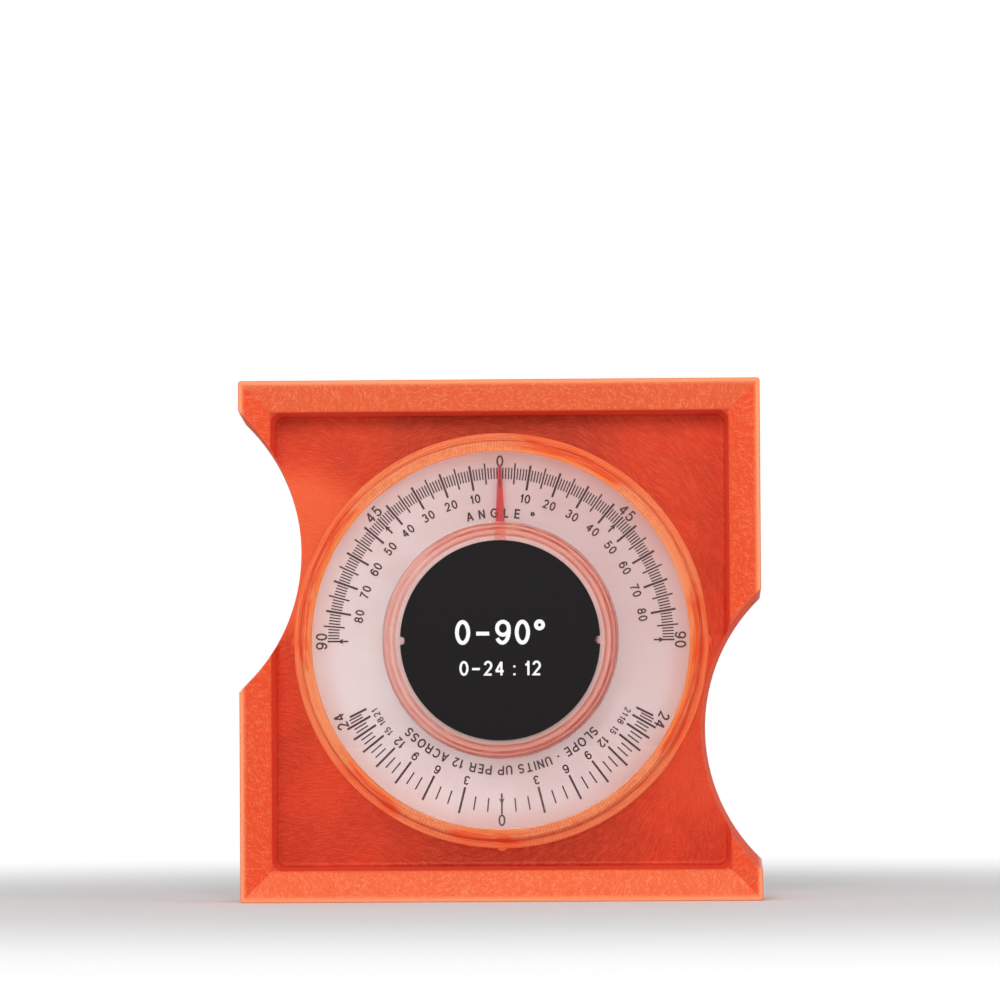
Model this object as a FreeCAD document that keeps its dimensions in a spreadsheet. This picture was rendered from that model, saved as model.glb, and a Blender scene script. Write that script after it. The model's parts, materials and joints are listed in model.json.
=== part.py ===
import FreeCAD, Part
import Sketcher
import os
import re

# Dial inclinometer: a square frame that stands on any straight edge, with a plumb pendulum in a
# clear capsule on its front.  Millimetres, +Z up, front towards -Y, origin under the middle of
# the base edge.  A "level" below is a distance forward (-Y) of the frame's middle plane, and
# sketches that lie across the front have their zero at the pivot, in the middle of the square.

SIZES = {
    # Front frame
    "body_size": 104.8,
    "body_depth": 22.0,
    "corner_round": 0.6,
    "edge_round": 0.3,
    "land_width": 0.8,
    "bevel_width": 6.25,
    "bevel_drop": 2.6,
    "recess_depth": 9.0,
    "recess_draft": 6.0,
    "recess_corner": 2.0,
    "recess_fillet": 1.0,
    "floor_thickness": 2.0,
    "wall_thickness": 2.4,
    "rim_wall": 1.2,
    # Finger cut-outs, one in each side
    "cutout_radius": 36.7,
    "cutout_draft": 3.4,
    "cutout_angle": 13.1,
    "cutout_gap": 0.45,
    # V-grooves along the two straight working edges
    "groove_width": 8.0,
    "groove_depth": 4.0,
    # Back cover and its screws
    "cover_thickness": 2.4,
    "cover_inset": 0.4,
    "cover_clearance": 0.15,
    "cover_corner": 0.8,
    "post_inset_across": 11.4,
    "post_inset_along": 10.4,
    "post_radius": 3.2,
    "pilot_radius": 1.05,
    "pilot_spare": 0.9,
    "thread_clearance": 0.03,
    "screw_hole_clearance": 0.38,
    "screw_length": 7.0,
    "screw_head_radius": 2.25,
    "screw_head_height": 1.25,
    "head_sink": 0.25,
    "head_clearance": 0.35,
    "drive_span": 2.6,
    "drive_slot": 0.55,
    "drive_depth": 0.7,
    # Clear capsule, from its flange inwards
    "capsule_margin": 4.2,
    "glue_line": 0.05,
    "flange_width": 1.85,
    "flange_thickness": 1.1,
    "flange_round": 0.3,
    "lug_inset": 0.65,
    "lug_radius": 1.1,
    "lens_wall": 1.75,
    "lens_draft_spread": 0.5,
    "lens_window": 1.5,
    "lens_edge_round": 0.6,
    "window_gap": 1.6,
    "plateau_lip": 2.1,
    "plateau_spread": 0.3,
    "plateau_wall": 0.9,
    "plateau_roof": 0.85,
    "plateau_round": 0.25,
    "plateau_head_room": 0.8,
    # Label in its seat on the plateau, keyed by two small nubs
    "label_seat_radius": 21.3,
    "label_seat_depth": 0.35,
    "label_margin": 1.2,
    "label_thickness": 0.2,
    "nub_inset": 0.2,
    "nub_radius": 0.7,
    "nub_height": 0.3,
    "nub_clearance": 0.1,
    # Dial
    "dial_clearance": 0.15,
    "plate_thickness": 1.5,
    "face_thickness": 0.25,
    "spigot_radius": 5.0,
    "spigot_clearance": 0.05,
    # Pivot
    "axle_radius": 0.8,
    "bearing_clearance": 0.04,
    "bearing_radius": 2.4,
    "front_bearing_radius": 1.9,
    "front_bearing_length": 1.3,
    "bearing_bottom": 1.0,
    "bearing_cap": 0.4,
    "axle_play": 0.1,
    "washer_radius": 1.8,
    "washer_thickness": 0.15,
    # Hub, pointer and weight
    "hub_radius": 2.6,
    "hub_flange_radius": 4.5,
    "hub_flange_thickness": 0.3,
    "pointer_thickness": 0.6,
    "pointer_disc_border": 0.5,
    "needle_gap": 2.8,
    "needle_root_width": 2.25,
    "needle_tip_width": 0.7,
    "weight_thickness": 3.0,
    "weight_gap": 3.5,
    "weight_angle": 150.0,
    "weight_eye_radius": 6.0,
    "rivet_inset": 6.0,
    "rivet_angle": 40.0,
    "rivet_radius": 0.9,
    "rivet_head_radius": 1.6,
    "rivet_head_height": 0.5,
}

HALF = "(body_size / 2)"

# Levels, from the back of the frame to its front.
REAR = "(-body_depth / 2)"
COVER_BACK = f"({REAR} + cover_inset)"
LEDGE = f"({COVER_BACK} + cover_thickness)"
SCREW_SEAT = f"({COVER_BACK} + head_sink + screw_head_height)"
RIM = "(body_depth / 2)"
FLOOR = f"({RIM} - recess_depth)"
FLOOR_BACK = f"({FLOOR} - floor_thickness)"
PLATE_FRONT = f"({FLOOR} + plate_thickness)"
FACE_FRONT = f"({PLATE_FRONT} + face_thickness)"
HUB_BACK = f"({FACE_FRONT} + axle_play + washer_thickness)"
POINTER_BACK = f"({HUB_BACK} + hub_flange_thickness)"
POINTER_FRONT = f"({POINTER_BACK} + pointer_thickness)"
WEIGHT_FRONT = f"({POINTER_FRONT} + weight_thickness)"
LENS_FOOT = f"({FLOOR} + glue_line)"
FLANGE_FRONT = f"({LENS_FOOT} + flange_thickness)"
WINDOW_BACK = f"({POINTER_FRONT} + window_gap)"
WINDOW_FRONT = f"({WINDOW_BACK} + lens_window)"
PLATEAU_BACK = f"({WEIGHT_FRONT} + rivet_head_height + plateau_head_room)"
LABEL_SEAT = f"({PLATEAU_BACK} + plateau_roof)"
PLATEAU_FRONT = f"({LABEL_SEAT} + label_seat_depth)"
FRONT_BEARING_BACK = f"({LABEL_SEAT} - front_bearing_length)"
HUB_FRONT = f"({FRONT_BEARING_BACK} - axle_play - washer_thickness)"
AXLE_BACK = f"({FLOOR_BACK} + bearing_bottom + axle_play)"
AXLE_FRONT = f"({LABEL_SEAT} - bearing_cap - axle_play)"

# Radii about the pivot line, from the frame's recess inwards.
FLANGE_RADIUS = f"({HALF} - bevel_width - capsule_margin)"
LENS_RADIUS = f"({FLANGE_RADIUS} - flange_width)"
LENS_BORE_RADIUS = f"({LENS_RADIUS} - lens_wall)"
DIAL_RADIUS = f"({LENS_BORE_RADIUS} - dial_clearance)"
NEEDLE_REACH = f"({DIAL_RADIUS} - needle_gap)"
PLATEAU_RADIUS = "(label_seat_radius + plateau_lip)"
PLATEAU_BORE_RADIUS = f"({PLATEAU_RADIUS} - plateau_wall)"
LABEL_RADIUS = "(label_seat_radius - label_margin)"
WEIGHT_RADIUS = f"({PLATEAU_BORE_RADIUS} - weight_gap)"
POINTER_DISC_RADIUS = f"({WEIGHT_RADIUS} + pointer_disc_border)"
BORE_RADIUS = "(axle_radius + bearing_clearance)"

# Screws
SHANK_RADIUS = "(pilot_radius - thread_clearance)"
SCREW_HOLE_RADIUS = f"({SHANK_RADIUS} + screw_hole_clearance)"
COUNTERBORE_RADIUS = "(screw_head_radius + head_clearance)"
PILOT_DEPTH = f"(screw_length - ({LEDGE} - {SCREW_SEAT}) + pilot_spare)"

doc = FreeCAD.newDocument("Inclinometer")
sheet = doc.addObject("Spreadsheet::Sheet", "Sizes")
for row, (alias, size) in enumerate(SIZES.items(), start=1):
    sheet.set(f"A{row}", alias)
    sheet.set(f"B{row}", str(size))
    sheet.setAlias(f"B{row}", alias)
doc.recompute()


def cells(expression):
    """The expression with each size name pointing at its cell in the sheet."""
    return re.sub(r"[a-z_]+", lambda word: f"Sizes.{word[0]}" if word[0] in SIZES else word[0],
                  expression)


def number(expression):
    """The value that an expression has now."""
    result = sheet.evalExpression(cells(expression))
    return float(getattr(result, "Value", result))


# Sketches

def new_sketch(body, name, role, offsets):
    """A sketch on one of its body's origin planes, moved by expressions along its own axes."""
    planes = [item for item in body.Origin.OriginFeatures if item.Role == role]
    sketch = body.newObject("Sketcher::SketchObject", name)
    sketch.AttachmentSupport = [(planes[0], "")]
    sketch.MapMode = "FlatFace"
    for axis, expression in offsets.items():
        sketch.setExpression(f"AttachmentOffset.Base.{axis}", cells(expression))
    return sketch


def across_front(body, name, level):
    """A sketch parallel to the front at a level: x right, y up, zero at the pivot."""
    return new_sketch(body, name, "XZ_Plane", {"y": HALF, "z": level})


def across_side(body, name):
    """A sketch on the plane between left and right: x back, y up, zero at the pivot."""
    return new_sketch(body, name, "YZ_Plane", {"y": HALF})


def along_pivot(body, name):
    """A sketch on the level plane through the pivot: x right, y back, for turned pieces."""
    return new_sketch(body, name, "XY_Plane", {"z": HALF})


def hold_point(sketch, geometry, vertex, x, y):
    """Fix one vertex at an expression for x and one for y."""
    for kind, expression in (("DistanceX", x), ("DistanceY", y)):
        datum = Sketcher.Constraint(kind, -1, 1, geometry, vertex, number(expression))
        index = sketch.addConstraint(datum)
        sketch.setExpression(f"Constraints[{index}]", cells(expression))


def add_polygon(sketch, corners):
    """A closed outline of straight lines through corners given as pairs of expressions."""
    first = sketch.GeometryCount
    places = [FreeCAD.Vector(number(x), number(y), 0) for x, y in corners]
    ends = places[1:] + places[:1]
    for start, end in zip(places, ends):
        sketch.addGeometry(Part.LineSegment(start, end), False)
    for index, (x, y) in enumerate(corners):
        following = (index + 1) % len(corners)
        joined = Sketcher.Constraint("Coincident", first + index, 2, first + following, 1)
        sketch.addConstraint(joined)
        hold_point(sketch, first + index, 1, x, y)


def add_square(sketch, half_side):
    """A square about the sketch's zero."""
    low = f"-({half_side})"
    add_polygon(sketch, [(low, low), (half_side, low), (half_side, half_side), (low, half_side)])


def add_circle(sketch, x, y, radius):
    """A circle whose centre and radius are expressions."""
    place = FreeCAD.Vector(number(x), number(y), 0)
    circle = Part.Circle(place, FreeCAD.Vector(0, 0, 1), number(radius))
    geometry = sketch.addGeometry(circle, False)
    hold_point(sketch, geometry, 3, x, y)
    index = sketch.addConstraint(Sketcher.Constraint("Radius", geometry, number(radius)))
    sketch.setExpression(f"Constraints[{index}]", cells(radius))


def add_circles(sketch, places, radius):
    """Equal circles at a list of places."""
    for x, y in places:
        add_circle(sketch, x, y, radius)


def turned_profile(sketch, corners):
    """A half section of a turned piece, with corners given as radius and level."""
    add_polygon(sketch, [(radius, f"-({level})") for radius, level in corners])


# Features

def add_feature(body, kind, name, sketch):
    """A feature of a body that works from a sketch."""
    feature = body.newObject(f"PartDesign::{kind}", name)
    feature.Profile = sketch
    sketch.Visibility = False
    return feature


def pad(body, name, sketch, length, backward=False, both_ways=False):
    """Raise a sketch by a length, forward unless told otherwise."""
    feature = add_feature(body, "Pad", name, sketch)
    feature.setExpression("Length", cells(length))
    feature.Reversed = backward
    if both_ways:
        feature.SideType = "Symmetric"
    doc.recompute()
    return feature


def pocket(body, name, sketch, length, forward=False, both_ways=False, draft=None):
    """Cut a sketch to a depth, backward unless told otherwise, and prove that it cut."""
    before = body.Shape.Volume
    feature = add_feature(body, "Pocket", name, sketch)
    feature.setExpression("Length", cells(length))
    feature.Reversed = forward
    if both_ways:
        feature.SideType = "Symmetric"
    if draft:
        feature.setExpression("TaperAngle", cells(draft))
    doc.recompute()
    if not body.Shape.Volume < before:
        raise ValueError(f"{name} cuts nothing")
    return feature


def turn(body, name, sketch):
    """Turn a half section about the pivot line."""
    feature = add_feature(body, "Revolution", name, sketch)
    feature.ReferenceAxis = (sketch, ["V_Axis"])
    feature.Angle = 360
    doc.recompute()
    return feature


def round_edges(body, name, radius, chosen):
    """Round the edges of a body's last feature for which the test holds."""
    base = body.Tip
    edges = [f"Edge{index}" for index, edge in enumerate(base.Shape.Edges, start=1)
             if chosen(edge)]
    if not edges:
        raise ValueError(f"{name} finds no edge")
    feature = body.newObject("PartDesign::Fillet", name)
    feature.Base = (base, edges)
    feature.setExpression("Radius", cells(radius))
    doc.recompute()
    return feature


def levels(edge):
    """The levels of an edge's two ends."""
    return [-vertex.Point.y for vertex in (edge.Vertexes[0], edge.Vertexes[-1])]


def lies_at(edge, *wanted):
    """Whether an edge's ends lie at the wanted levels, from back to front."""
    if len(wanted) == 1:
        wanted = wanted * 2
    return all(abs(level - number(goal)) < 0.001
               for level, goal in zip(sorted(levels(edge)), wanted))


def is_circle(edge, radius):
    """Whether an edge is a circle of a radius about the pivot line."""
    curve = edge.Curve
    return isinstance(curve, Part.Circle) and abs(curve.Radius - number(radius)) < 0.001


# Places that mating pieces share.  Each cut-out passes the capsule's flange by a named gap.

CUTOUT_SPREAD = f"(({FLOOR_BACK} - {REAR}) * tan(cutout_draft))"
CUTOUT_FLOOR_RADIUS = f"(cutout_radius + ({FLOOR} - {REAR}) * tan(cutout_draft))"
CUTOUT_DISTANCE = f"({FLANGE_RADIUS} + cutout_gap + {CUTOUT_FLOOR_RADIUS})"
CUTOUT_REACH = f"{CUTOUT_DISTANCE} * cos(cutout_angle)"
CUTOUT_RISE = f"{CUTOUT_DISTANCE} * sin(cutout_angle)"
CUTOUT_CENTRES = [(f"-{CUTOUT_REACH}", CUTOUT_RISE), (CUTOUT_REACH, f"-{CUTOUT_RISE}")]
POSTS = [(f"{across}({HALF} - post_inset_across)", f"{along}({HALF} - post_inset_along)")
         for across in ("-", "") for along in ("-", "")]
LUG_CIRCLE = f"({FLANGE_RADIUS} - lug_inset)"
LUGS = [(LUG_CIRCLE, "0"), (f"-{LUG_CIRCLE}", "0"), ("0", f"-{LUG_CIRCLE}")]
NUB_CIRCLE = f"({LABEL_RADIUS} - nub_inset)"
NUBS = [(f"-{NUB_CIRCLE}", "0"), (NUB_CIRCLE, "0")]
RIVET_CIRCLE = f"({WEIGHT_RADIUS} - rivet_inset)"
RIVETS = [(f"{side}{RIVET_CIRCLE} * sin(rivet_angle)", f"-{RIVET_CIRCLE} * cos(rivet_angle)")
          for side in ("-", "")]

sub_parts = []


def new_body(label):
    """A sub-part, whose label names its file."""
    body = doc.addObject("PartDesign::Body", label)
    body.Label = label
    body.AllowCompound = True
    sub_parts.append(body)
    doc.recompute()
    return body


def make_front_frame():
    """Square frame with a sloping border, a sunk floor, two finger cut-outs and two V-grooves."""
    frame = new_body("front_frame")

    outline = across_front(frame, "frame_outline", REAR)
    add_square(outline, HALF)
    pad(frame, "frame_block", outline, "body_depth")
    round_edges(frame, "outer_corners", "corner_round", lambda edge: lies_at(edge, REAR, RIM))
    round_edges(frame, "outer_edges", "edge_round",
                lambda edge: lies_at(edge, REAR) or lies_at(edge, RIM))

    border = across_front(frame, "border_outline", RIM)
    add_square(border, f"{HALF} - land_width")
    pocket(frame, "sloping_border", border, "bevel_drop",
           draft="-atan((bevel_width - land_width) / bevel_drop)")
    recess = across_front(frame, "recess_outline", f"{RIM} - bevel_drop")
    add_square(recess, f"{HALF} - bevel_width")
    pocket(frame, "recess", recess, "recess_depth - bevel_drop", draft="-recess_draft")
    round_edges(frame, "recess_corners", "recess_corner",
                lambda edge: lies_at(edge, FLOOR, f"{RIM} - bevel_drop"))
    round_edges(frame, "recess_foot", "recess_fillet", lambda edge: lies_at(edge, FLOOR))

    hollow_frame(frame)
    cut_openings(frame)
    return frame


def hollow_frame(frame):
    """The hollow back: cover seat, cavity, walls round the cut-outs, rails and screw posts."""
    seat = across_front(frame, "cover_seat_outline", REAR)
    add_square(seat, f"{HALF} - rim_wall")
    pocket(frame, "cover_seat", seat, f"{LEDGE} - {REAR}", forward=True)
    cavity = across_front(frame, "cavity_outline", LEDGE)
    add_square(cavity, f"{HALF} - wall_thickness")
    pocket(frame, "cavity", cavity, f"{FLOOR_BACK} - {LEDGE}", forward=True)

    rims = across_front(frame, "cutout_rim_outline", REAR)
    add_circles(rims, CUTOUT_CENTRES, "cutout_radius + rim_wall")
    pad(frame, "cutout_rims", rims, f"{FLOOR_BACK} - {REAR}")
    walls = across_front(frame, "cutout_wall_outline", LEDGE)
    add_circles(walls, CUTOUT_CENTRES, f"cutout_radius + wall_thickness + {CUTOUT_SPREAD}")
    pad(frame, "cutout_walls", walls, f"{FLOOR_BACK} - {LEDGE}")

    rails = across_side(frame, "rail_outline")
    rail_height = "(groove_depth + wall_thickness * sqrt(2))"
    front = f"-({FLOOR})"
    foot = f"({rail_height} - wall_thickness)"
    for sign in ("-", ""):
        add_polygon(rails, [(front, f"{sign}{HALF}"), (front, f"{sign}({HALF} - {rail_height})"),
                            ("0", f"{sign}({HALF} - {rail_height})"),
                            (foot, f"{sign}({HALF} - wall_thickness)"), (foot, f"{sign}{HALF}")])
    pad(frame, "groove_rails", rails, "body_size - 2 * corner_round", both_ways=True)

    posts = across_front(frame, "post_outline", LEDGE)
    add_circles(posts, POSTS, "post_radius")
    pad(frame, "screw_posts", posts, f"{FLOOR_BACK} - {LEDGE}")
    pilots = across_front(frame, "pilot_outline", LEDGE)
    add_circles(pilots, POSTS, "pilot_radius")
    pocket(frame, "pilot_holes", pilots, PILOT_DEPTH, forward=True)

    surround = across_front(frame, "surround_outline", REAR)
    add_square(surround, f"body_size + {CUTOUT_REACH}")
    add_square(surround, HALF)
    pocket(frame, "trim_to_outline", surround, "body_depth", forward=True)


def cut_openings(frame):
    """Finger cut-outs with drafted walls, V-grooves, and the hole for the dial's spigot."""
    cutouts = across_front(frame, "cutout_outline", REAR)
    add_circles(cutouts, CUTOUT_CENTRES, "cutout_radius")
    pocket(frame, "finger_cutouts", cutouts, "body_depth", forward=True, draft="cutout_draft")

    grooves = across_side(frame, "groove_outline")
    for sign in ("-", ""):
        add_polygon(grooves, [("-groove_width / 2", f"{sign}{HALF}"),
                              ("0", f"{sign}({HALF} - groove_depth)"),
                              ("groove_width / 2", f"{sign}{HALF}")])
    pocket(frame, "v_grooves", grooves, "body_size", both_ways=True)

    spigot = across_front(frame, "spigot_hole_outline", FLOOR)
    add_circle(spigot, "0", "0", "spigot_radius + spigot_clearance")
    pocket(frame, "spigot_hole", spigot, "floor_thickness")


def make_back_cover():
    """Plate that closes the hollow back, let into the rear rim."""
    cover = new_body("back_cover")
    outline = across_front(cover, "cover_outline", COVER_BACK)
    add_square(outline, f"{HALF} - rim_wall - cover_clearance")
    pad(cover, "cover_plate", outline, "cover_thickness")
    round_edges(cover, "cover_corners", "cover_corner",
                lambda edge: lies_at(edge, COVER_BACK, LEDGE))
    bites = across_front(cover, "cover_bite_outline", COVER_BACK)
    add_circles(bites, CUTOUT_CENTRES, "cutout_radius + rim_wall + cover_clearance")
    pocket(cover, "cover_bites", bites, "cover_thickness", forward=True)
    holes = across_front(cover, "cover_hole_outline", COVER_BACK)
    add_circles(holes, POSTS, SCREW_HOLE_RADIUS)
    pocket(cover, "cover_holes", holes, "cover_thickness", forward=True)
    counterbores = across_front(cover, "counterbore_outline", COVER_BACK)
    add_circles(counterbores, POSTS, COUNTERBORE_RADIUS)
    pocket(cover, "counterbores", counterbores, f"{SCREW_SEAT} - {COVER_BACK}", forward=True)


def make_cover_screws():
    """Four pan-head self-tapping screws with cross recesses."""
    screws = new_body("cover_screws")
    heads = across_front(screws, "head_outline", SCREW_SEAT)
    add_circles(heads, POSTS, "screw_head_radius")
    pad(screws, "screw_heads", heads, "screw_head_height", backward=True)
    shanks = across_front(screws, "shank_outline", SCREW_SEAT)
    add_circles(shanks, POSTS, SHANK_RADIUS)
    pad(screws, "screw_shanks", shanks, "screw_length")
    head_top = f"({SCREW_SEAT} - screw_head_height)"
    for name, half_width, half_height in (("slot_across", "drive_span / 2", "drive_slot / 2"),
                                          ("slot_upright", "drive_slot / 2", "drive_span / 2")):
        slots = across_front(screws, f"{name}_outline", head_top)
        for x, y in POSTS:
            add_polygon(slots, [(f"{x} - {half_width}", f"{y} - {half_height}"),
                                (f"{x} + {half_width}", f"{y} - {half_height}"),
                                (f"{x} + {half_width}", f"{y} + {half_height}"),
                                (f"{x} - {half_width}", f"{y} + {half_height}")])
        pocket(screws, name, slots, "drive_depth", forward=True)


def make_lens():
    """Clear capsule: wall and flange glued to the floor, flat window, raised centre plateau."""
    lens = new_body("lens")
    section = along_pivot(lens, "lens_section")
    plateau_foot = f"{PLATEAU_RADIUS} + plateau_spread"
    turned_profile(section, [
        ("front_bearing_radius", LABEL_SEAT),
        ("label_seat_radius", LABEL_SEAT),
        ("label_seat_radius", PLATEAU_FRONT),
        (PLATEAU_RADIUS, PLATEAU_FRONT),
        (plateau_foot, WINDOW_FRONT),
        (LENS_RADIUS, WINDOW_FRONT),
        (f"{LENS_RADIUS} + lens_draft_spread", FLANGE_FRONT),
        (FLANGE_RADIUS, FLANGE_FRONT),
        (FLANGE_RADIUS, LENS_FOOT),
        (LENS_BORE_RADIUS, LENS_FOOT),
        (LENS_BORE_RADIUS, WINDOW_BACK),
        (PLATEAU_BORE_RADIUS, WINDOW_BACK),
        (PLATEAU_BORE_RADIUS, PLATEAU_BACK),
        ("front_bearing_radius", PLATEAU_BACK),
    ])
    turn(lens, "lens_shell", section)
    round_edges(lens, "lens_rim_round", "lens_edge_round", lambda edge: is_circle(edge, LENS_RADIUS))
    round_edges(lens, "plateau_rounds", "plateau_round",
                lambda edge: is_circle(edge, PLATEAU_RADIUS) or is_circle(edge, plateau_foot))
    round_edges(lens, "flange_rim_round", "flange_round",
                lambda edge: is_circle(edge, FLANGE_RADIUS) and lies_at(edge, FLANGE_FRONT))

    lugs = across_front(lens, "lug_outline", LENS_FOOT)
    add_circles(lugs, LUGS, "lug_radius")
    pad(lens, "flange_lugs", lugs, "flange_thickness")
    nubs = across_front(lens, "nub_outline", LABEL_SEAT)
    add_circles(nubs, NUBS, "nub_radius")
    pad(lens, "label_nubs", nubs, "nub_height")


def make_centre_label():
    """Thin disc in the plateau's seat, notched for the two nubs."""
    label = new_body("centre_label")
    outline = across_front(label, "label_outline", LABEL_SEAT)
    add_circle(outline, "0", "0", LABEL_RADIUS)
    pad(label, "label_disc", outline, "label_thickness")
    notches = across_front(label, "label_notch_outline", LABEL_SEAT)
    add_circles(notches, NUBS, "nub_radius + nub_clearance")
    pocket(label, "label_notches", notches, "label_thickness", forward=True)


def make_turned_piece(label, corners):
    """A sub-part that is one half section turned about the pivot line."""
    piece = new_body(label)
    section = along_pivot(piece, f"{label}_section")
    turned_profile(section, corners)
    turn(piece, f"{label}_turned", section)


def make_ring(label, inner_radius, outer_radius, back, front):
    """A plain turned ring between two levels."""
    make_turned_piece(label, [(inner_radius, back), (outer_radius, back), (outer_radius, front),
                              (inner_radius, front)])


def make_dial():
    """Backing plate with a spigot in the floor's hole, and the printed face on it."""
    make_turned_piece("dial_plate", [
        ("bearing_radius", FLOOR_BACK),
        ("spigot_radius", FLOOR_BACK),
        ("spigot_radius", FLOOR),
        (DIAL_RADIUS, FLOOR),
        (DIAL_RADIUS, PLATE_FRONT),
        ("bearing_radius", PLATE_FRONT),
    ])
    make_ring("dial_face", "bearing_radius", DIAL_RADIUS, PLATE_FRONT, FACE_FRONT)


def make_bearings():
    """Two blind bushes that the axle's ends run in, and a thrust washer for each."""
    make_turned_piece("rear_bearing", [
        ("0", FLOOR_BACK),
        ("bearing_radius", FLOOR_BACK),
        ("bearing_radius", FACE_FRONT),
        (BORE_RADIUS, FACE_FRONT),
        (BORE_RADIUS, f"{FLOOR_BACK} + bearing_bottom"),
        ("0", f"{FLOOR_BACK} + bearing_bottom"),
    ])
    make_turned_piece("front_bearing", [
        ("0", LABEL_SEAT),
        ("front_bearing_radius", LABEL_SEAT),
        ("front_bearing_radius", FRONT_BEARING_BACK),
        (BORE_RADIUS, FRONT_BEARING_BACK),
        (BORE_RADIUS, f"{LABEL_SEAT} - bearing_cap"),
        ("0", f"{LABEL_SEAT} - bearing_cap"),
    ])
    make_ring("rear_thrust_washer", BORE_RADIUS, "washer_radius", f"{HUB_BACK} - washer_thickness",
              HUB_BACK)
    make_ring("front_thrust_washer", BORE_RADIUS, "washer_radius", HUB_FRONT,
              f"{HUB_FRONT} + washer_thickness")


def make_pivot():
    """Axle and the flanged hub pressed on it."""
    make_turned_piece("axle", [("0", AXLE_BACK), ("axle_radius", AXLE_BACK),
                               ("axle_radius", AXLE_FRONT), ("0", AXLE_FRONT)])
    make_turned_piece("hub", [
        ("axle_radius", HUB_BACK),
        ("hub_flange_radius", HUB_BACK),
        ("hub_flange_radius", POINTER_BACK),
        ("hub_radius", POINTER_BACK),
        ("hub_radius", HUB_FRONT),
        ("axle_radius", HUB_FRONT),
    ])


def make_pointer():
    """Disc that carries the weight, with the tapered needle that reads the scale."""
    pointer = new_body("pointer")
    disc = across_front(pointer, "pointer_disc_outline", POINTER_BACK)
    add_circle(disc, "0", "0", POINTER_DISC_RADIUS)
    pad(pointer, "pointer_disc", disc, "pointer_thickness")
    needle = across_front(pointer, "needle_outline", POINTER_BACK)
    root_half, tip_half = "needle_root_width / 2", "needle_tip_width / 2"
    add_polygon(needle, [(f"-{root_half}", "0"), (root_half, "0"),
                         (root_half, POINTER_DISC_RADIUS), (tip_half, NEEDLE_REACH),
                         (f"-{tip_half}", NEEDLE_REACH), (f"-{root_half}", POINTER_DISC_RADIUS)])
    pad(pointer, "needle", needle, "pointer_thickness")
    bore = across_front(pointer, "pointer_bore_outline", POINTER_BACK)
    add_circle(bore, "0", "0", "hub_radius")
    add_circles(bore, RIVETS, "rivet_radius")
    pocket(pointer, "pointer_bores", bore, "pointer_thickness", forward=True)


def make_counterweight():
    """Heavy sector below the pivot, with an eye on the hub."""
    weight = new_body("counterweight")
    disc = across_front(weight, "weight_outline", POINTER_FRONT)
    add_circle(disc, "0", "0", WEIGHT_RADIUS)
    pad(weight, "weight_disc", disc, "weight_thickness")
    upper = across_front(weight, "upper_cut_outline", POINTER_FRONT)
    far = f"(2 * {WEIGHT_RADIUS})"
    edge_x, edge_y = f"{far} * sin(weight_angle / 2)", f"-{far} * cos(weight_angle / 2)"
    add_polygon(upper, [("0", "0"), (edge_x, edge_y), (far, far), (f"-{far}", far),
                        (f"-{edge_x}", edge_y)])
    pocket(weight, "upper_cut", upper, "weight_thickness", forward=True)
    eye = across_front(weight, "weight_eye_outline", POINTER_FRONT)
    add_circle(eye, "0", "0", "weight_eye_radius")
    pad(weight, "weight_eye", eye, "weight_thickness")
    bores = across_front(weight, "weight_bore_outline", POINTER_FRONT)
    add_circle(bores, "0", "0", "hub_radius")
    add_circles(bores, RIVETS, "rivet_radius")
    pocket(weight, "weight_bores", bores, "weight_thickness", forward=True)


def make_weight_rivets():
    """Two rivets that clamp the weight to the pointer's disc."""
    rivets = new_body("weight_rivets")
    shanks = across_front(rivets, "rivet_shank_outline", POINTER_BACK)
    add_circles(shanks, RIVETS, "rivet_radius")
    pad(rivets, "rivet_shanks", shanks, "pointer_thickness + weight_thickness")
    heads = across_front(rivets, "rivet_head_outline", WEIGHT_FRONT)
    add_circles(heads, RIVETS, "rivet_head_radius")
    pad(rivets, "rivet_heads", heads, "rivet_head_height")


make_front_frame()
make_back_cover()
make_cover_screws()
make_lens()
make_centre_label()
make_dial()
make_bearings()
make_pivot()
make_pointer()
make_counterweight()
make_weight_rivets()
doc.recompute()

for item in doc.Objects:
    if "Invalid" in item.State or "Error" in item.State:
        raise ValueError(f"{item.Label} did not compute")

os.makedirs("parts", exist_ok=True)
for sub_part in sub_parts:
    shape = sub_part.Shape
    if shape.isNull() or not shape.isValid() or not shape.Solids:
        raise ValueError(f"{sub_part.Label} has no valid solid")
    shape.exportStep(f"parts/{sub_part.Label}.step")
    box = shape.optimalBoundingBox()
    print(f"{sub_part.Label}: {len(shape.Solids)} solid(s), {shape.Volume:.1f} mm3, "
          f"{box.XLength:.2f} x {box.YLength:.2f} x {box.ZLength:.2f} mm")
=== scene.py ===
import json
from math import atan, cos, pi, radians, sin

import bmesh
import bpy
from mathutils import Matrix, Vector


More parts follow.
